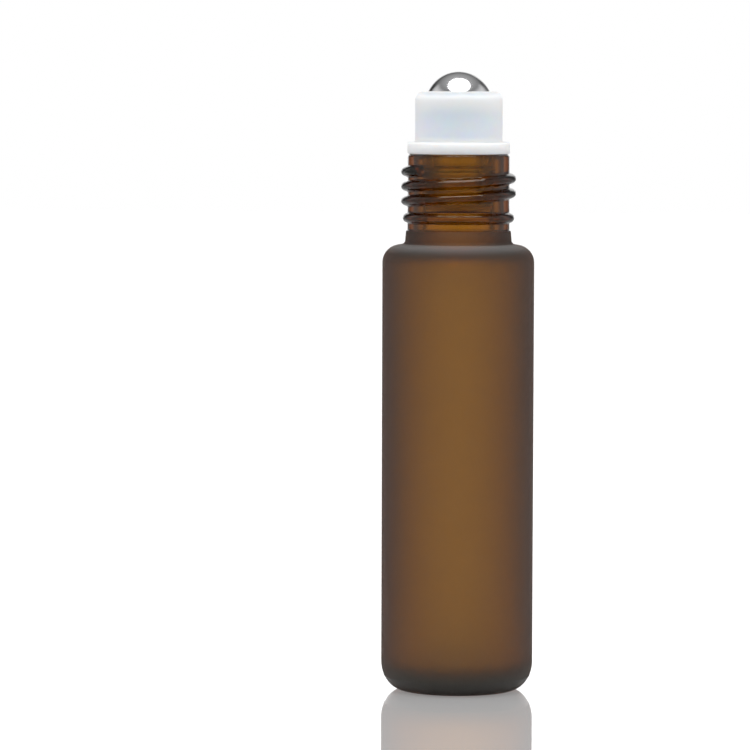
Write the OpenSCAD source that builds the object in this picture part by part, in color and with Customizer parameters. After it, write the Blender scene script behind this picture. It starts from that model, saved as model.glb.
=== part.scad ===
// Roll-on bottle for about 10 ml of oil or scent. A round glass bottle carries
// a soft plastic roller housing pressed into its neck, and the housing holds a
// steel ball that turns freely and wets itself from below.
// Millimetres. The origin is the middle of the base, on the surface it stands on.

/* [Glass body] */
// Outer diameter of the straight body
body_d = 20; // [17:0.5:30]
// Height of the shoulder above the base
shoulder_h = 58.9; // [40:0.5:90]
// Glass thickness of the side wall
body_wall = 1.7; // [1:0.1:2.5]
// Width of the oval rounding of the heel, in from the side
heel_w = 3; // [1:0.1:5]
// Height of the oval rounding of the heel, up from the base
heel_h = 3.8; // [1:0.1:6]
// Rise of the hollow under the base
push_up = 0.7; // [0.3:0.1:1.5]
// Width of the flat ring that the bottle stands on
foot_w = 1.3; // [0.6:0.1:2.5]
// Glass thickness of the floor over that hollow
floor_t = 1.5; // [1:0.1:4]
// Radius of the rounded corner inside, between wall and floor
inner_heel_r = 2.2; // [1:0.1:4]

/* [Shoulder] */
// Radius of the outer corner of the shoulder
shoulder_r = 2.4; // [1:0.1:4]
// Fall of the shoulder from the neck out to that corner
shoulder_fall = 0.05; // [0:0.05:1]
// Glass thickness of the shoulder
shoulder_t = 1.8; // [1:0.1:3]
// Radius of the inner corner of the shoulder
inner_shoulder_r = 0.9; // [0.5:0.1:3]
// Radius of the rounded edge where the cavity narrows to the neck
throat_r = 1; // [0.4:0.1:1.6]

/* [Neck] */
// Outer diameter of the neck between the raised rings
neck_d = 13.4; // [12:0.1:16]
// Bore of the neck
neck_bore_d = 9.8; // [8:0.1:11]
// Height of the neck above the shoulder
neck_h = 11.9; // [9:0.1:16]
// Step from the neck out to the top of the collar at its foot
collar_step = 0.2; // [0.1:0.05:0.6]
// How far the collar flares from its top to its foot
collar_flare = 0.1; // [0:0.05:0.4]
// Height of the collar above the shoulder
collar_h = 1.9; // [1:0.1:2.5]
// Radius of the hollow fillet between collar and shoulder
collar_fillet_r = 0.6; // [0.2:0.1:1]
// Height of the middle of the bead above the shoulder
bead_z = 3.5; // [2.5:0.1:5]
// How far the bead stands out from the neck, which is also its round
bead_r = 0.6; // [0.3:0.05:1]
// Radius of the outer edge of the rim
rim_r = 0.5; // [0.2:0.05:0.8]
// Radius of the inner edge of the rim
rim_inner_r = 0.35; // [0.1:0.05:0.6]

/* [Roller housing] */
// Length of the plug below the flange
plug_l = 7.4; // [5:0.1:9]
// Wall of the plug
plug_wall = 1.1; // [0.7:0.05:1.5]
// Number of sealing ribs round the plug
rib_count = 3; // [2:1:4]
// How far each sealing rib stands out from the plug
rib_r = 0.35; // [0.2:0.05:0.5]
// Length of the taper that leads the plug into the neck
lead_in = 0.9; // [0.4:0.1:1.5]
// Diameter of the flange that rests on the rim
flange_d = 13.5; // [12.5:0.1:17]
// Thickness of the flange
flange_t = 1.55; // [0.8:0.05:2]
// Radius of the edges of the flange
flange_edge_r = 0.25; // [0.1:0.05:0.4]
// Outer diameter of the barrel round the ball
barrel_d = 11.5; // [11:0.1:14]
// Height of the barrel above the flange
barrel_h = 6.65; // [5.5:0.05:9]
// Radius of the outer edge of the lip
lip_r = 1.1; // [0.4:0.1:1.5]
// Bevel of the mouth, round the ball
mouth_bevel = 0.15; // [0.05:0.05:0.3]
// Thickness of the web under the ball socket
web_t = 0.9; // [0.5:0.1:1.2]
// Diameter of the feed hole under the ball
feed_d = 5; // [3:0.1:6]

/* [Roller ball] */
// Diameter of the steel ball
ball_d = 9; // [7.5:0.1:9.5]
// How far the ball stands out of the lip
ball_proud = 2.6; // [1.5:0.1:3.2]

/* [Fits] */
// Clearance all round the ball in its socket
ball_gap = 0.06; // [0.03:0.01:0.1]
// Clearance between the sealing ribs and the neck bore
plug_gap = 0.04; // [0.02:0.01:0.1]

/* [Hidden] */
$fn = 96;

// Straight pieces in each round of the outlines
round_steps = 10;
// Straight pieces in the small edges and ribs
small_steps = 6;
// Straight pieces of the domed hollow under the base
dome_steps = 8;
// Overrun of a cut past the face it opens
overrun = ball_d / 10;

// Largest part of a ledge that the round at its corner may take
corner_share = 0.78;
// Largest part of the shoulder that its fillet may take
fillet_share = 0.19;
// Largest part of a wall that the round on its edge may take
edge_share = 0.4;
// Place of the lowest sealing rib, along the plug from the flange
rib_low_share = 0.74;
// Place of the highest sealing rib, along the plug from the flange
rib_high_share = 0.26;
// Part of the lead-in by which its taper narrows the plug
taper_share = 0.33;
// Part of the web between the lowest point of the ball and the top of the feed well
web_share = 0.5;

// Body and shoulder
body_r = body_d / 2;
collar_top_r = neck_d / 2 + collar_step;
collar_r = collar_top_r + collar_flare;
shoulder_w = body_r - collar_r;
corner_r = min(shoulder_r, shoulder_w * corner_share);
fillet_r = min(collar_fillet_r, shoulder_w * fillet_share);
cavity_r = body_r - body_wall;
floor_z = push_up + floor_t;
cavity_top_z = shoulder_h - shoulder_t;
foot_r = body_r - heel_w;

// Neck
neck_r = neck_d / 2;
bore_r = neck_bore_d / 2;
neck_wall = neck_r - bore_r;
rim_z = shoulder_h + neck_h;
collar_z = shoulder_h + collar_h;
bead_mid_z = shoulder_h + bead_z;
rim_out_r = min(rim_r, neck_wall * edge_share);
rim_in_r = min(rim_inner_r, neck_wall * edge_share);
cavity_ledge = cavity_r - bore_r;
inner_corner_r = min(inner_shoulder_r, cavity_ledge * corner_share);
throat_used_r = min(throat_r, cavity_ledge - inner_corner_r);

// Roller housing, which seats on the rim
rib_out_r = bore_r - plug_gap;
plug_r = rib_out_r - rib_r;
well_r = plug_r - plug_wall;
nose_r = plug_r - lead_in * taper_share;
plug_z = rim_z - plug_l;
flange_r = flange_d / 2;
flange_top_z = rim_z + flange_t;
barrel_r = barrel_d / 2;
barrel_top_z = flange_top_z + barrel_h;
feed_r = min(feed_d / 2, well_r);

// Ball and socket
ball_r = ball_d / 2;
ball_z = barrel_top_z + ball_proud - ball_r;
socket_r = ball_r + ball_gap;
// Turn that lays the poles of the ball and of its socket on the axis of the roll
poles_on_x = [0, 90, 0];
mouth_r = sqrt(pow(socket_r, 2) - pow(barrel_top_z - ball_z, 2));
lip_edge_r = min(lip_r, (barrel_r - mouth_r) * corner_share);
well_top_z = ball_z - socket_r - web_t * web_share;
well_shoulder_z = well_top_z - (well_r - feed_r);

// Points of an oval stretch of an outline, from one angle to another
function oval(middle, wide, high, from, to, steps = round_steps) =
    [for (i = [0 : steps])
        let (a = from + (to - from) * i / steps)
        middle + [wide * cos(a), high * sin(a)]];

// Points of a round stretch of an outline, from one angle to another
function arc(middle, r, from, to, steps = round_steps) =
    oval(middle, r, r, from, to, steps);

// Outline of the glass outside, from the middle of the base up to the rim
function glass_outside() = concat(
    [for (i = [0 : dome_steps])
        let (s = i / dome_steps)
        [(foot_r - foot_w) * s, push_up * (1 - s * s)]],
    oval([foot_r, heel_h], heel_w, heel_h, -90, 0),
    arc([body_r - corner_r, shoulder_h - shoulder_fall - corner_r], corner_r, 0, 90),
    arc([collar_r + fillet_r, shoulder_h + fillet_r], fillet_r, 270, 180),
    [[collar_top_r, collar_z - collar_step], [neck_r, collar_z]],
    arc([neck_r, bead_mid_z], bead_r, -90, 90),
    arc([neck_r - rim_out_r, rim_z - rim_out_r], rim_out_r, 0, 90, small_steps));

// Outline of the glass inside, from the rim down to the middle of the floor
function glass_inside() = concat(
    arc([bore_r + rim_in_r, rim_z - rim_in_r], rim_in_r, 90, 180, small_steps),
    arc([bore_r + throat_used_r, cavity_top_z + throat_used_r], throat_used_r, 180, 270),
    arc([cavity_r - inner_corner_r, cavity_top_z - inner_corner_r], inner_corner_r, 90, 0),
    arc([cavity_r - inner_heel_r, floor_z + inner_heel_r], inner_heel_r, 0, -90),
    [[0, floor_z]]);

// The glass bottle, one moulding: body, shoulder, collar, bead, neck and rim
module bottle() {
    color("saddlebrown")
    rotate_extrude()
        polygon(concat(glass_outside(), glass_inside()));
}

// Height of a sealing rib, numbered from the lowest
function rib_mid_z(i) =
    let (share = rib_low_share + (rib_high_share - rib_low_share) * i / (rib_count - 1))
    rim_z - plug_l * share;

// Outline of the housing as moulded, before the ball is snapped in
function housing_outline() = concat(
    [[feed_r, barrel_top_z], [feed_r, well_top_z], [well_r, well_shoulder_z]],
    [[well_r, plug_z], [nose_r, plug_z], [plug_r, plug_z + lead_in]],
    [for (i = [0 : rib_count - 1]) each arc([plug_r, rib_mid_z(i)], rib_r, -90, 90, small_steps)],
    [[plug_r, rim_z]],
    arc([flange_r - flange_edge_r, rim_z + flange_edge_r], flange_edge_r, -90, 0, small_steps),
    arc([flange_r - flange_edge_r, flange_top_z - flange_edge_r], flange_edge_r, 0, 90, small_steps),
    [[barrel_r, flange_top_z]],
    arc([barrel_r - lip_edge_r, barrel_top_z - lip_edge_r], lip_edge_r, 0, 90));

// The roller housing, one moulding: ribbed plug, flange, barrel and ball socket
module roller_housing() {
    color("whitesmoke")
    difference() {
        rotate_extrude()
            polygon(housing_outline());
        translate([0, 0, ball_z])
            rotate(poles_on_x)
                sphere(r = socket_r);
        translate([0, 0, barrel_top_z - mouth_bevel])
            cylinder(r1 = mouth_r, r2 = mouth_r + mouth_bevel + overrun, h = mouth_bevel + overrun);
    }
}

// The steel ball, held by the lip of the barrel
module roller_ball() {
    color("silver")
    translate([0, 0, ball_z])
        rotate(poles_on_x)
            sphere(r = ball_r);
}

bottle();
roller_housing();
roller_ball();
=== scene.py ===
import math

import bpy
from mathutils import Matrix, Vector


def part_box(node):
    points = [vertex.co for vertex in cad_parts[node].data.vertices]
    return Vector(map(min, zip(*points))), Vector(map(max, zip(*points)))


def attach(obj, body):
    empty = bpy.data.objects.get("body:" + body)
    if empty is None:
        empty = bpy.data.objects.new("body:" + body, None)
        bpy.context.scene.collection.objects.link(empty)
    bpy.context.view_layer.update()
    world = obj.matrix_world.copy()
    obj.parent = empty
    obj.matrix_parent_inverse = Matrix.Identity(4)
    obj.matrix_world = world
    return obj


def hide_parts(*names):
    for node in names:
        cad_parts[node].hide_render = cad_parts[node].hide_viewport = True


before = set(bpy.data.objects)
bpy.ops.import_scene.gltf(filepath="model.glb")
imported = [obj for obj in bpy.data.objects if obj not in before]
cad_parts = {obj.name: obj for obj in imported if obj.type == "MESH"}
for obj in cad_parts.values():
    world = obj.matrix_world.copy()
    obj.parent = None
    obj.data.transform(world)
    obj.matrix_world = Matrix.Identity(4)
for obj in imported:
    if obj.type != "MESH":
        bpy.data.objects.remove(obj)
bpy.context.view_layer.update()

MM = 0.001

# Sizes that the frame gives, in millimetres
glass_low, glass_high = (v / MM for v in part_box("bottle"))
housing_low, housing_high = (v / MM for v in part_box("roller_housing"))
ball_low, ball_high = (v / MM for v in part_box("roller_ball"))
BODY_R = (glass_high.x - glass_low.x) / 2
RIM_Z = glass_high.z
FLANGE_R = (housing_high.x - housing_low.x) / 2
PLUG_Z = housing_low.z
BARREL_TOP_Z = housing_high.z
BALL_R = (ball_high.z - ball_low.z) / 2
BALL_Z = (ball_high.z + ball_low.z) / 2

# Body and shoulder of the glass, in millimetres, as in the CAD model
SHOULDER_Z = RIM_Z - 11.9
WALL = 1.7
HEEL_W = 3.0
HEEL_H = 3.8
PUSH_UP = 0.7
FOOT_W = 1.3
FLOOR_T = 1.5
INNER_HEEL_R = 2.2
CORNER_R = 2.34
SHOULDER_FALL = 0.05
SHOULDER_T = 1.8
INNER_CORNER_R = 0.9
THROAT_R = 1.0

# Neck of the glass, in millimetres, as in the CAD model
NECK_R = 6.7
BORE_R = 4.9
COLLAR_STEP = 0.2
COLLAR_FLARE = 0.1
COLLAR_H = 1.9
FILLET_R = 0.57
RIM_OUT_R = 0.5
RIM_IN_R = 0.35

# The bead, a little fuller than in the CAD model
BEAD_Z = SHOULDER_Z + 3.5
BEAD_H = 0.62
BEAD_W = 1.3

# Thread on the neck, with angles in degrees from +X towards +Y, where the camera's side is at 270
THREAD_PITCH = 1.93
FRONT_ANGLE = 270.0
THREAD_FRONT_Z = RIM_Z - 5.72
THREAD_START = 70.0
THREAD_END = 946.0
THREAD_H = 0.86
THREAD_W = 1.34
THREAD_FADE = 26.0
# The relief of the neck runs out over this height below the rim
RELIEF_FADE = 3 * RIM_OUT_R

# The seam where the halves of the mould meet. One half's thread sits a little higher
SEAM_ANGLE = 295.0
SEAM_H = 0.035
SEAM_W = 0.14
SEAM_SHIFT = 0.09

# The profile of a ridge: how round it is, how steep its sides are, and how far it is softened
RIDGE_ROUND = 2.2
RIDGE_STEEP = 0.55
RIDGE_SOFT = 0.045

# Etching of the glass, which is less frosted below the parting line that the mould's base plate leaves
BASE_PLATE_Z = 1.9
BASE_FROST = 0.4
PARTING_H = 0.05
PARTING_W = 0.1
# The shoulder is paler than the body, a painted highlight for the top light's haze that makes its glass less
# see-through, from this depth below it and from this far outside the neck
SHOULDER_PAINTED_HAZE = 4.5
SHOULDER_DEPTH = 1.2
SHOULDER_INNER = 0.6

# Roller housing, in millimetres, as in the CAD model
PLUG_GAP = 0.04
RIB_H = 0.35
PLUG_WALL = 1.1
LEAD_IN = 0.9
TAPER = 0.297
RIB_SHARES = (0.74, 0.5, 0.26)
FLANGE_T = 1.55
FLANGE_TOP_Z = RIM_Z + FLANGE_T
FLANGE_EDGE_R = 0.25
BARREL_R = 5.75
LIP_R = 1.1
MOUTH_BEVEL = 0.15
WEB_T = 0.9
FEED_R = 2.5
BALL_GAP = 0.06

# The ball's shade, painted into the barrel's colour, from this far above the flange to this far above the
# ball's middle
SHADE_FOOT = 0.05
SHADE_FOOT_FADE = 0.8
SHADE_TOP = 1.3
SHADE_TOP_FADE = 2.8
# The plug turns milky over these lengths at its tip and under the rim
TIP_FADE = 0.6
RIM_FADE = 0.3
# The lip is painted greyer, as painted shade that tones down the lamp's light on its top, above this depth
# below its top
LIP_DEPTH = 0.8
LIP_FADE = 0.6

# Fineness of the meshes
COLUMNS = 256
BALL_GRID = 40
EDGE_STEPS = 6
RIM_STEPS = 8
DOME_STEPS = 10
RIB_STEPS = 10
ROUND_STEPS = 12
HEEL_STEPS = 40
SOCKET_STEPS = 40
# Rows are this high, low where a relief or a painted number changes
THREAD_ROW = 0.06
PLUG_ROW = 0.1
BARREL_ROW = 0.25
BORE_ROW = 0.5
WALL_ROW = 2.0

# Looks of the glass, clear and etched. Noise is in cycles per metre, and the grain's depth is in metres
CLEAR_ROUGHNESS = 0.02
ETCHED_ROUGHNESS = (0.72, 0.78)
CLEAR_TRANSMISSION = 1.0
ETCHED_TRANSMISSION = 0.98
CLEAR_GLINT = (0.75, 0.72, 0.65, 1)
ETCHED_GLINT = (0.55, 0.58, 0.48, 1)
ETCHING_PATCHES = 140.0
ETCHING_GRAIN = 2600.0
GRAIN_STRENGTH = 0.35
GRAIN_DEPTH = 0.00002
AMBER = (0.81, 0.65, 0.0, 1)
AMBER_DENSITY = 1700.0

# Looks of the plastic
MILKY = (0.992, 0.993, 0.991, 1)
# A cool grey painted into the barrel as the shade of the ball behind its wall
MILKY_PAINTED_BALL_SHADE = (0.8, 0.83, 0.885, 1)
# Painted shade: a grey that tones down the lamp's light on the lip at the top of the barrel
MILKY_LIP_SHADE = (0.58, 0.61, 0.63, 1)
SKIN_ROUGHNESS = (0.4, 0.46)
SKIN_FLOW = 300.0
PLUG_ROUGHNESS = 0.22
PLUG_TRANSMISSION = 0.96

# Looks of the steel
STEEL = (0.78, 0.78, 0.79, 1)
STEEL_ROUGHNESS = (0.1, 0.16)
STEEL_SCRATCHES = 900.0

# Table, in metres
TABLE_W = 2.0
TABLE_FRONT = 0.12
TABLE_BACK = 2.0

# How the table looks to the camera: the share of its white that takes the bottle's shadow, and its gloss.
# The white changes by GLOSS_LOSS times the gloss
TABLE_GREY = 0.55
SHADOW_SHARE = 0.2
GLOSS_POWER = 3.0
GLOSS_LEVEL = 1.4
GLOSS_LOSS = -1.12
GLOSS_ROUGHNESS = 0.04
# Seen through the glass it is a white sweep, which sets in between these distances from the bottle, in metres
SWEEP_LEVEL = 0.88
SWEEP_NEAR = 0.02
SWEEP_FAR = 0.12
# The sweep dims to its sides between these slants, the way sideways over the way back
SIDES_LEVEL = 0.15
SIDES_START = 0.27
SIDES_END = 0.45

# The room. The ceiling's edge and middle are cosines of the angle from the way to its brightest spot
DARK_LEVEL = 0.05
CEILING_LEVEL = 0.4
CEILING_AIM = (0.0, 0.1, 0.995)
CEILING_EDGE = 0.35
CEILING_MIDDLE = 0.98
# Tops of the walls, as the sine of the angle above level
BACKDROP_TOP = 0.38
REFLECTOR_TOP = 0.68
TOP_SOFTNESS = 0.15
# How much higher the backdrop's top would be straight to the right than in the middle
TALLER_RIGHT = 0.2
# The backdrop gives way to the taller reflectors between these shares of a half turn
BACKDROP_END = 0.24
REFLECTOR_START = 0.27
# How bright the walls are, from straight behind the bottle (0 degrees) round to the camera (180)
WALL_STOPS = ((0, 1.0), (18, 1.0), (25, 0.15), (39, 0.15), (50, 0.4), (58, 0.65), (67, 0.72), (95, 0.78),
              (118, 0.7), (138, 0.6), (160, 0.45), (180, 0.35))

# The lamp, in metres, degrees and watts
LAMP_SIZE = 0.56
LAMP_AWAY = 0.5
LAMP_ELEVATION = 76.0
LAMP_WATTS = 3.2
LAMP_AIM = Vector((0, 0, 0.075))

# The camera, in metres and degrees, and its lens in millimetres
EYE = (-0.01104, -0.6, 0.082)
EYE_DOWN = 3.85
EYE_TILT = -0.17
LENS = 218.9
SENSOR = 36.0
CLIP_START = 0.05

# A Mix node has its colour sockets behind its number sockets
COLOUR_A = 6
COLOUR_B = 7
COLOUR_RESULT = 2


def oval(x, z, wide, high, start, end, steps=ROUND_STEPS):
    """Points of an oval stretch of an outline, angles in degrees."""
    angles = (math.radians(start + (end - start) * i / steps) for i in range(steps + 1))
    return [(x + wide * math.cos(a), z + high * math.sin(a)) for a in angles]


def arc(x, z, r, start, end, steps=ROUND_STEPS):
    """Points of a round stretch of an outline, angles in degrees."""
    return oval(x, z, r, r, start, end, steps)


def line(start, end, step):
    """Points between start and end, no further apart than step, without the two ends."""
    n = max(1, math.ceil(math.dist(start, end) / step))
    return [tuple(a + (b - a) * i / n for a, b in zip(start, end)) for i in range(1, n)]


def ease(t):
    """A smooth step from 0 to 1."""
    t = min(1.0, max(0.0, t))
    return t * t * (3 - 2 * t)


def smooth_piece(name, verts, faces):
    """An object with a smooth mesh of these vertices and faces."""
    mesh = bpy.data.meshes.new(name)
    mesh.from_pydata(verts, [], faces)
    mesh.update()
    mesh.shade_smooth()
    piece = bpy.data.objects.new(name, mesh)
    bpy.context.scene.collection.objects.link(piece)
    return piece


def lathe(name, outline, relief=None, closed=False):
    """A piece turned round Z from (radius, height) points in millimetres. relief moves a point outwards."""
    verts, rings = [], []
    for r, z in outline:
        if r == 0:
            rings.append([len(verts)] * COLUMNS)
            verts.append((0, 0, z * MM))
            continue
        rings.append(list(range(len(verts), len(verts) + COLUMNS)))
        for c in range(COLUMNS):
            a = 2 * math.pi * c / COLUMNS
            out = r + (relief(a, r, z) if relief else 0)
            verts.append((out * math.cos(a) * MM, out * math.sin(a) * MM, z * MM))
    pairs = list(zip(rings, rings[1:]))
    if closed:
        pairs.append((rings[-1], rings[0]))
    faces = []
    for low, high in pairs:
        for c in range(COLUMNS):
            d = (c + 1) % COLUMNS
            corners = (low[c], low[d], high[d], high[c])
            faces.append(tuple(dict.fromkeys(corners)))
    return smooth_piece(name, verts, faces), rings


def bump(d):
    """A blunt round ridge: 1 at its crest, with steep sides that run into the neck at d = -1 and 1."""
    near = [abs(d + RIDGE_SOFT * i) for i in (-2, -1, 0, 1, 2)]
    return sum((1 - v ** RIDGE_ROUND) ** RIDGE_STEEP for v in near if v < 1) / len(near)


def past_seam(degrees):
    """1 on the half of the mould right of the seam in front, and 0 on the other."""
    return 1.0 if (degrees - SEAM_ANGLE) % 360 < 180 else 0.0


def neck_relief(a, z):
    """How far the thread, the bead and the mould's seam stand out from the neck."""
    degrees = math.degrees(a) % 360
    out = BEAD_H * bump((z - BEAD_Z) / (BEAD_W / 2))
    shift = SEAM_SHIFT * past_seam(degrees)
    for turn in range(math.ceil(THREAD_END / 360)):
        t = degrees + 360 * turn
        if not THREAD_START <= t <= THREAD_END:
            continue
        crest = THREAD_FRONT_Z + THREAD_PITCH * (t - FRONT_ANGLE) / 360 + shift
        fade = ease((t - THREAD_START) / THREAD_FADE) * ease((THREAD_END - t) / THREAD_FADE)
        out = max(out, THREAD_H * fade * bump((z - crest) / (THREAD_W / 2)))
    for seam in (SEAM_ANGLE, SEAM_ANGLE - 180):
        away = math.radians((degrees - seam + 180) % 360 - 180) * NECK_R
        out += SEAM_H * math.exp(-(away / SEAM_W) ** 2)
    return out


def glass_relief(a, r, z):
    """How far the neck's relief, or the parting line low on the heel, stands out from the outline."""
    halfway = (NECK_R - RIM_OUT_R + BORE_R + RIM_IN_R) / 2
    if z > SHOULDER_Z + COLLAR_H and r > halfway:
        return neck_relief(a, z) * ease((RIM_Z - z) / RELIEF_FADE)
    if z < HEEL_H and r > BODY_R - HEEL_W:
        return PARTING_H * math.exp(-((z - BASE_PLATE_Z) / PARTING_W) ** 2)
    return 0.0


def glass_outline():
    """The bottle's outline outside, up to the clear glass, then the clear neck, then inside."""
    collar_r = NECK_R + COLLAR_STEP + COLLAR_FLARE
    collar_z = SHOULDER_Z + COLLAR_H
    foot_r = BODY_R - HEEL_W
    shares = [s / DOME_STEPS for s in range(DOME_STEPS + 1)]
    dome = [((foot_r - FOOT_W) * share, PUSH_UP * (1 - share ** 2)) for share in shares]
    heel = oval(foot_r, HEEL_H, HEEL_W, HEEL_H, -90, 0, HEEL_STEPS)
    corner = arc(BODY_R - CORNER_R, SHOULDER_Z - SHOULDER_FALL - CORNER_R, CORNER_R, 0, 90)
    fillet = arc(collar_r + FILLET_R, SHOULDER_Z + FILLET_R, FILLET_R, 270, 180, EDGE_STEPS)
    frosted = dome + heel + line(heel[-1], corner[0], WALL_ROW) + corner + fillet
    frosted += [(NECK_R + COLLAR_STEP, collar_z - COLLAR_STEP)]
    rim = arc(NECK_R - RIM_OUT_R, RIM_Z - RIM_OUT_R, RIM_OUT_R, 0, 90, RIM_STEPS)
    clear = [(NECK_R, collar_z)] + line((NECK_R, collar_z), rim[0], THREAD_ROW) + rim
    bore_top = arc(BORE_R + RIM_IN_R, RIM_Z - RIM_IN_R, RIM_IN_R, 90, 180, EDGE_STEPS)
    cavity_r = BODY_R - WALL
    top = SHOULDER_Z - SHOULDER_T
    floor = PUSH_UP + FLOOR_T
    throat = arc(BORE_R + THROAT_R, top + THROAT_R, THROAT_R, 180, 270, RIM_STEPS)
    inner_corner = arc(cavity_r - INNER_CORNER_R, top - INNER_CORNER_R, INNER_CORNER_R, 90, 0)
    inner_heel = arc(cavity_r - INNER_HEEL_R, floor + INNER_HEEL_R, INNER_HEEL_R, 0, -90)
    inside = bore_top + line(bore_top[-1], throat[0], BORE_ROW) + throat + inner_corner
    inside += line(inner_corner[-1], inner_heel[0], WALL_ROW) + inner_heel + [(0, floor)]
    return frosted, clear, inside


def housing_outline():
    """The housing's outline, round from the mouth down the socket and up outside."""
    socket_r = BALL_R + BALL_GAP
    mouth = math.degrees(math.asin((BARREL_TOP_Z - MOUTH_BEVEL - BALL_Z) / socket_r))
    feed = -math.degrees(math.acos(FEED_R / socket_r))
    socket = arc(0, BALL_Z, socket_r, mouth, feed, SOCKET_STEPS)
    plug_r = BORE_R - PLUG_GAP - RIB_H
    well_r = plug_r - PLUG_WALL
    well_top = BALL_Z - socket_r - WEB_T / 2
    plug_l = RIM_Z - PLUG_Z
    well = [(FEED_R, well_top), (well_r, well_top - (well_r - FEED_R))]
    well += line(well[-1], (well_r, PLUG_Z), PLUG_ROW)
    lead = [(well_r, PLUG_Z), (plug_r - TAPER, PLUG_Z), (plug_r, PLUG_Z + LEAD_IN)]
    ribs = []
    for share in RIB_SHARES:
        ribs += arc(plug_r, RIM_Z - plug_l * share, RIB_H, -90, 90, RIB_STEPS)
    edge_x = FLANGE_R - FLANGE_EDGE_R
    flange = line(ribs[-1], (plug_r, RIM_Z), PLUG_ROW) + [(plug_r, RIM_Z)]
    flange += arc(edge_x, RIM_Z + FLANGE_EDGE_R, FLANGE_EDGE_R, -90, 0, EDGE_STEPS)
    flange += arc(edge_x, FLANGE_TOP_Z - FLANGE_EDGE_R, FLANGE_EDGE_R, 0, 90, EDGE_STEPS)
    barrel = [(BARREL_R, FLANGE_TOP_Z)]
    barrel += line(barrel[0], (BARREL_R, BARREL_TOP_Z - LIP_R), BARREL_ROW)
    barrel += arc(BARREL_R - LIP_R, BARREL_TOP_Z - LIP_R, LIP_R, 0, 90)
    mouth_edge = (socket[0][0] + MOUTH_BEVEL, BARREL_TOP_Z)
    return socket + well + lead + ribs + flange + barrel + [mouth_edge]


def ball_piece(name):
    """The ball, as an even grid of squares drawn out to a sphere."""
    verts, faces, seen = [], [], {}

    def corner(p):
        key = tuple(round(v, 6) for v in p)
        if key not in seen:
            seen[key] = len(verts)
            d = Vector([math.tan(v * math.pi / 4) for v in p]).normalized() * BALL_R
            verts.append((d.x * MM, d.y * MM, (d.z + BALL_Z) * MM))
        return seen[key]

    for axis in range(3):
        for side in (-1, 1):
            u, v = (axis + 1) % 3, (axis + 2) % 3
            for i in range(BALL_GRID):
                for j in range(BALL_GRID):
                    square = []
                    for di, dj in ((0, 0), (1, 0), (1, 1), (0, 1)):
                        p = [0, 0, 0]
                        p[axis] = side
                        p[u] = 2 * (i + di) / BALL_GRID - 1
                        p[v] = 2 * (j + dj) / BALL_GRID - 1
                        square.append(corner(p))
                    faces.append(square if side > 0 else square[::-1])
    return smooth_piece(name, verts, faces)


def frost_and_haze(r, z):
    """How deeply a point outside the frosted glass is etched, where 1 is the satin of the body, and above 1
    on the shoulder a painted highlight that makes the glass paler.
    """
    level = BASE_FROST if z < BASE_PLATE_Z else 1.0
    if r > NECK_R + SHOULDER_INNER:
        level += SHOULDER_PAINTED_HAZE * ease((z - SHOULDER_Z + SHOULDER_DEPTH) / SHOULDER_DEPTH)
    return level


def painted_ball_shade(r, z):
    """How much painted shade the ball, which lies behind the barrel's wall, puts on the wall at a height."""
    if r <= BARREL_R - LIP_R:
        return 0.0
    above_flange = ease((z - FLANGE_TOP_Z - SHADE_FOOT) / SHADE_FOOT_FADE)
    return above_flange * ease((BALL_Z + SHADE_TOP - z) / SHADE_TOP_FADE)


def plug_clearness(r, z):
    """How clear the plug is, from its milky tip up to the flange."""
    return ease((z - PLUG_Z) / TIP_FADE) * (1.0 - ease((z - RIM_Z + RIM_FADE) / RIM_FADE))


def lip_painted_shade(r, z):
    """How much a point belongs to the lip, which is painted greyer as painted shade."""
    return ease((z - BARREL_TOP_Z + LIP_DEPTH) / LIP_FADE)


def paint(piece, name, values):
    """Gives each vertex a number for its material."""
    layer = piece.data.attributes.new(name, "FLOAT", "POINT")
    layer.data.foreach_set("value", values)


def paint_by_place(piece, name, amount):
    """Paints a piece with a number worked out from each vertex's radius and height in millimetres."""
    places = [v.co / MM for v in piece.data.vertices]
    paint(piece, name, [amount(math.hypot(p.x, p.y), p.z) for p in places])


def new_material(name):
    """A material with its nodes, and its Principled shader."""
    material = bpy.data.materials.new(name)
    material.use_nodes = True
    return material, material.node_tree, material.node_tree.nodes["Principled BSDF"]


def set_socket(tree, socket, value):
    """Gives a socket a plain value, or another node's output."""
    if isinstance(value, bpy.types.NodeSocket):
        tree.links.new(value, socket)
    else:
        socket.default_value = value


def set_inputs(tree, node, values):
    """Sets a node's sockets by name or number."""
    for name, value in values.items():
        set_socket(tree, node.inputs[name], value)


def add(tree, kind, inputs=None, **settings):
    """A node with its settings, and with its sockets set by name or number."""
    node = tree.nodes.new(kind)
    for name, value in settings.items():
        setattr(node, name, value)
    set_inputs(tree, node, inputs or {})
    return node


def calculate(tree, operation, *values, clamp=False):
    """The result of a Math node, whose values are numbers or other nodes' outputs."""
    node = add(tree, "ShaderNodeMath", operation=operation, use_clamp=clamp)
    for socket, value in zip(node.inputs, values):
        set_socket(tree, socket, value)
    return node.outputs["Value"]


def map_range(tree, value, limits, smooth=False):
    """A number brought from one range to another. limits names the ends of the two ranges."""
    kind = "SMOOTHSTEP" if smooth else "LINEAR"
    node = add(tree, "ShaderNodeMapRange", {"Value": value, **limits}, interpolation_type=kind)
    return node.outputs["Result"]


def between(tree, share, ends):
    """A number from the lower end to the higher one, by a share from 0 to 1."""
    return map_range(tree, share, {"To Min": ends[0], "To Max": ends[1]})


def smooth_step(tree, value, start, end):
    """A smooth step from 0 at start to 1 at end."""
    return map_range(tree, value, {"From Min": start, "From Max": end}, smooth=True)


def mix_numbers(tree, factor, a, b, clamp=True):
    """A number between a and b, or past them where the factor isn't clamped."""
    node = add(tree, "ShaderNodeMix", {"Factor": factor, "A": a, "B": b}, clamp_factor=clamp)
    return node.outputs["Result"]


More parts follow.
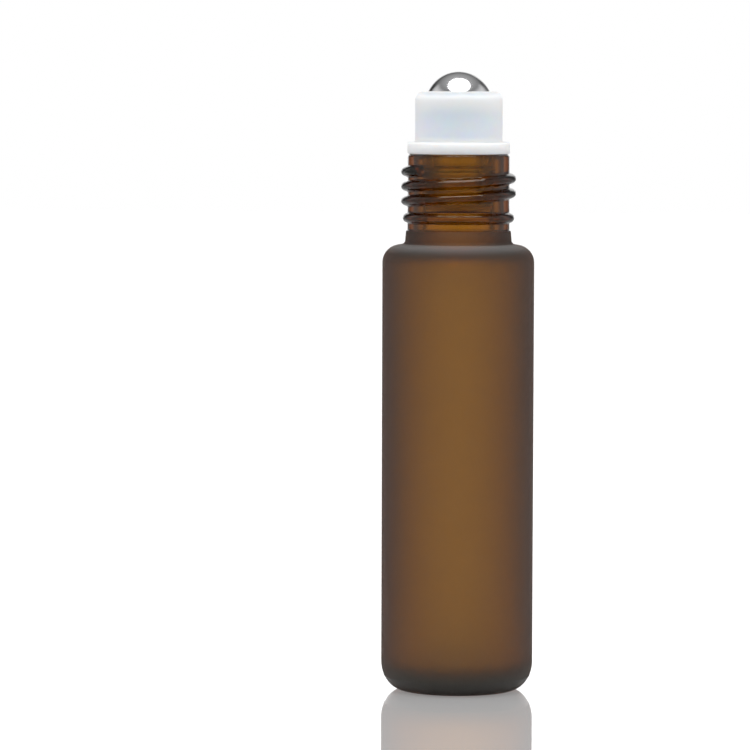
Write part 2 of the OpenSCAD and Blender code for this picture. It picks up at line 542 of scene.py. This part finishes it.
def mix_colours(tree, factor, a, b):
    """A colour between a and b."""
    node = add(tree, "ShaderNodeMix", {"Factor": factor}, data_type="RGBA")
    set_socket(tree, node.inputs[COLOUR_A], a)
    set_socket(tree, node.inputs[COLOUR_B], b)
    return node.outputs[COLOUR_RESULT]


def mix_shaders(tree, factor, a, b):
    """The result of a Mix Shader node."""
    node = tree.nodes.new("ShaderNodeMixShader")
    for socket, value in zip(node.inputs, (factor, a, b)):
        set_socket(tree, socket, value)
    return node.outputs["Shader"]


def painted(tree, name):
    """The number that the mesh is painted with."""
    return add(tree, "ShaderNodeAttribute", attribute_name=name).outputs["Fac"]


def fine_noise(tree, scale, detail, roughness=0.5):
    """Noise that stays in its place on the piece, with scale in cycles per metre."""
    place = add(tree, "ShaderNodeTexCoord").outputs["Object"]
    inputs = {"Vector": place, "Scale": scale, "Detail": detail, "Roughness": roughness}
    return add(tree, "ShaderNodeTexNoise", inputs).outputs["Fac"]


def amber_glass():
    """Amber glass, clear where frost is 0 and etched where it is 1, and paler past 1 as a painted highlight
    on the shoulder.
    """
    material, tree, shader = new_material("amber_glass")
    etching_and_haze = painted(tree, "frost_and_haze")
    etched = between(tree, fine_noise(tree, ETCHING_PATCHES, detail=3.0), ETCHED_ROUGHNESS)
    grain = add(tree, "ShaderNodeBump", {
        "Strength": calculate(tree, "MULTIPLY", etching_and_haze, GRAIN_STRENGTH),
        "Distance": GRAIN_DEPTH,
        "Height": fine_noise(tree, ETCHING_GRAIN, detail=4.0, roughness=0.6),
    })
    # Past 1 the shoulder's painted highlight takes see-through away, so more of the glass's white shows
    see_through = mix_numbers(tree, etching_and_haze, CLEAR_TRANSMISSION, ETCHED_TRANSMISSION, clamp=False)
    set_inputs(tree, shader, {
        "Base Color": (0.95, 0.95, 0.95, 1),
        "Roughness": mix_numbers(tree, etching_and_haze, CLEAR_ROUGHNESS, etched),
        "IOR": 1.51,
        "Transmission Weight": see_through,
        "Specular Tint": mix_colours(tree, etching_and_haze, CLEAR_GLINT, ETCHED_GLINT),
        "Normal": grain.outputs["Normal"],
    })
    amber = add(tree, "ShaderNodeVolumeAbsorption", {"Color": AMBER, "Density": AMBER_DENSITY})
    set_inputs(tree, tree.nodes["Material Output"], {"Volume": amber.outputs["Volume"]})
    return material


def milky_plastic():
    """Natural polyethylene: milky outside, with a clearer thin-walled plug that has no sheen."""
    material, tree, shader = new_material("milky_plastic")
    plug = painted(tree, "plug")
    skin = between(tree, fine_noise(tree, SKIN_FLOW, detail=3.0), SKIN_ROUGHNESS)
    # Painted shade: the steel ball behind the thin wall of its socket is painted on as a faint cool tint, all
    # round the barrel
    with_painted_shade = mix_colours(tree, painted(tree, "painted_ball_shade"), MILKY, MILKY_PAINTED_BALL_SHADE)
    shader.subsurface_method = "RANDOM_WALK_SKIN"
    set_inputs(tree, shader, {
        # The base colour carries the painted shade of the ball and the painted shade of the lip
        "Base Color": mix_colours(tree, painted(tree, "lip"), with_painted_shade, MILKY_LIP_SHADE),
        "Roughness": mix_numbers(tree, plug, skin, PLUG_ROUGHNESS),
        "IOR": 1.5,
        "Subsurface Weight": 1.0,
        "Subsurface Radius": (1.3, 1.05, 0.85),
        "Subsurface Scale": 0.02,
        "Subsurface IOR": 1.5,
        "Subsurface Anisotropy": 0.9,
        "Transmission Weight": calculate(tree, "MULTIPLY", plug, PLUG_TRANSMISSION),
        "Sheen Weight": calculate(tree, "SUBTRACT", 1.0, plug),
        "Sheen Roughness": 0.8,
    })
    return material


def polished_steel():
    """Mirror-polished steel with scratches too fine to see one by one."""
    material, tree, shader = new_material("polished_steel")
    set_inputs(tree, shader, {
        "Base Color": STEEL,
        "Metallic": 1.0,
        "Roughness": between(tree, fine_noise(tree, STEEL_SCRATCHES, detail=6.0), STEEL_ROUGHNESS),
    })
    return material


def polished_white(tree, plain):
    """White acrylic with the bottle's shadow, and with a reflection that grows as the view flattens."""
    facing = add(tree, "ShaderNodeLayerWeight").outputs["Facing"]
    gloss = calculate(tree, "POWER", facing, GLOSS_POWER)
    lit = calculate(tree, "MULTIPLY_ADD", gloss, GLOSS_LOSS, 1.0)
    white = add(tree, "ShaderNodeEmission", {"Strength": lit}).outputs["Emission"]
    mirror = add(tree, "ShaderNodeBsdfGlossy", {
        "Color": calculate(tree, "MULTIPLY", gloss, GLOSS_LEVEL, clamp=True),
        "Roughness": GLOSS_ROUGHNESS,
    })
    both = tree.nodes.new("ShaderNodeAddShader")
    tree.links.new(mix_shaders(tree, SHADOW_SHARE, white, plain), both.inputs[0])
    tree.links.new(mirror.outputs["BSDF"], both.inputs[1])
    return both.outputs["Shader"]


def glossy_floor():
    """The table: polished to the camera, plain where it lights the bottle, a white sweep behind the glass."""
    material, tree, shader = new_material("glossy_floor")
    tree.nodes.remove(shader)
    grey = (TABLE_GREY, TABLE_GREY, TABLE_GREY, 1)
    plain = add(tree, "ShaderNodeBsdfDiffuse", {"Color": grey}).outputs["BSDF"]
    ray = add(tree, "ShaderNodeLightPath").outputs
    lights_bottle = calculate(tree, "MAXIMUM", ray["Is Diffuse Ray"], ray["Is Glossy Ray"])
    surface = mix_shaders(tree, lights_bottle, polished_white(tree, plain), plain)

    place = add(tree, "ShaderNodeNewGeometry").outputs["Position"]
    spot = add(tree, "ShaderNodeSeparateXYZ", {"Vector": place}).outputs
    slant = calculate(tree, "DIVIDE", calculate(tree, "ABSOLUTE", spot["X"]), spot["Y"])
    ends = {"From Min": SIDES_START, "From Max": SIDES_END, "To Min": SWEEP_LEVEL, "To Max": SIDES_LEVEL}
    level = map_range(tree, slant, ends, smooth=True)
    sweep = add(tree, "ShaderNodeEmission", {"Strength": level}).outputs["Emission"]

    away = add(tree, "ShaderNodeVectorMath", {0: place}, operation="LENGTH").outputs["Value"]
    far = smooth_step(tree, away, SWEEP_NEAR, SWEEP_FAR)
    through = calculate(tree, "MULTIPLY", far, ray["Is Transmission Ray"])
    seen = mix_shaders(tree, through, surface, sweep)
    set_inputs(tree, tree.nodes["Material Output"], {"Surface": seen})
    return material


def wall_brightness(tree, turn):
    """How bright the walls are at a share of the half turn from behind the bottle to the camera."""
    ramp = add(tree, "ShaderNodeValToRGB", {"Fac": turn})
    stops = ramp.color_ramp.elements
    while len(stops) < len(WALL_STOPS):
        stops.new(1.0)
    for stop, (degrees, level) in zip(stops, WALL_STOPS):
        stop.position = degrees / 180
        stop.color = (level, level, level, 1)
    return ramp.outputs["Color"]


def room():
    """Bright walls with a lower backdrop, and a dim ceiling. The camera itself sees the room white."""
    world = bpy.data.worlds.new("studio")
    bpy.context.scene.world = world
    world.use_nodes = True
    tree = world.node_tree
    tree.nodes.clear()
    way = add(tree, "ShaderNodeTexCoord").outputs["Generated"]
    x, y, z = add(tree, "ShaderNodeSeparateXYZ", {"Vector": way}).outputs
    angle = calculate(tree, "ABSOLUTE", calculate(tree, "ARCTAN2", x, y))
    turn = calculate(tree, "DIVIDE", angle, math.pi)

    behind = smooth_step(tree, turn, REFLECTOR_START, BACKDROP_END)
    drop = calculate(tree, "MULTIPLY_ADD", x, TALLER_RIGHT, BACKDROP_TOP - REFLECTOR_TOP)
    top = calculate(tree, "MULTIPLY_ADD", behind, drop, REFLECTOR_TOP)
    above = calculate(tree, "SUBTRACT", z, top)
    below_top = smooth_step(tree, above, TOP_SOFTNESS, -TOP_SOFTNESS)
    walls = calculate(tree, "MULTIPLY", wall_brightness(tree, turn), below_top)

    overhead = add(tree, "ShaderNodeVectorMath", {0: way, 1: CEILING_AIM}, operation="DOT_PRODUCT")
    share = smooth_step(tree, overhead.outputs["Value"], CEILING_EDGE, CEILING_MIDDLE)
    ceiling = calculate(tree, "MULTIPLY", share, CEILING_LEVEL)
    level = calculate(tree, "MAXIMUM", calculate(tree, "MAXIMUM", walls, ceiling), DARK_LEVEL)
    camera_ray = add(tree, "ShaderNodeLightPath").outputs["Is Camera Ray"]
    seen = calculate(tree, "MAXIMUM", level, camera_ray)
    white = add(tree, "ShaderNodeBackground", {"Color": (1, 1, 1, 1), "Strength": seen})
    add(tree, "ShaderNodeOutputWorld", {"Surface": white.outputs["Background"]})


def lamp():
    """One soft round light above the bottle, slightly in front of it."""
    data = bpy.data.lights.new("softbox", "AREA")
    data.shape = "DISK"
    data.size = LAMP_SIZE
    data.energy = LAMP_WATTS
    softbox = bpy.data.objects.new("softbox", data)
    bpy.context.scene.collection.objects.link(softbox)
    elevation = math.radians(LAMP_ELEVATION)
    softbox.location = LAMP_AIM + LAMP_AWAY * Vector((0, -math.cos(elevation), math.sin(elevation)))
    softbox.rotation_euler = (LAMP_AIM - softbox.location).to_track_quat("-Z", "Y").to_euler()


def table():
    """The glossy white table that the bottle stands on."""
    mesh = bpy.data.meshes.new("table_top")
    half, front, back = TABLE_W / 2, -TABLE_FRONT, TABLE_BACK
    corners = [(-half, front, 0), (half, front, 0), (half, back, 0), (-half, back, 0)]
    mesh.from_pydata(corners, [], [(0, 1, 2, 3)])
    top = bpy.data.objects.new("table_top", mesh)
    bpy.context.scene.collection.objects.link(top)
    mesh.materials.append(glossy_floor())


def camera():
    """The photograph's view: slightly above, looking along +Y, with the bottle right of the middle."""
    data = bpy.data.cameras.new("camera")
    data.lens = LENS
    data.sensor_width = SENSOR
    data.clip_start = CLIP_START
    eye = bpy.data.objects.new("camera", data)
    bpy.context.scene.collection.objects.link(eye)
    eye.location = EYE
    eye.rotation_euler = (math.radians(90 - EYE_DOWN), math.radians(EYE_TILT), 0)
    bpy.context.scene.camera = eye


frosted, clear, inside = glass_outline()
glass, glass_rings = lathe("glass_bottle", frosted + clear + inside, glass_relief)
frost_and_haze_levels = [0.0] * len(glass.data.vertices)
for ring, (r, z) in zip(glass_rings, frosted):
    for index in ring:
        frost_and_haze_levels[index] = frost_and_haze(r, z)
# Paints the etching, and the painted highlight on the shoulder
paint(glass, "frost_and_haze", frost_and_haze_levels)
glass.data.materials.append(amber_glass())
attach(glass, "bottle")
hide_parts("bottle")

housing = lathe("roller_housing_moulding", housing_outline(), closed=True)[0]
# Paints the ball's shade onto the barrel's wall
paint_by_place(housing, "painted_ball_shade", painted_ball_shade)
paint_by_place(housing, "plug", plug_clearness)
# Paints the lip's painted shade
paint_by_place(housing, "lip", lip_painted_shade)
housing.data.materials.append(milky_plastic())
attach(housing, "roller_housing")
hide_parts("roller_housing")

ball = ball_piece("steel_ball")
ball.data.materials.append(polished_steel())
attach(ball, "roller_ball")
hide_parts("roller_ball")

room()
lamp()
table()
camera()
bpy.context.scene.view_settings.view_transform = "Standard"
bpy.context.scene.cycles.blur_glossy = 0.0
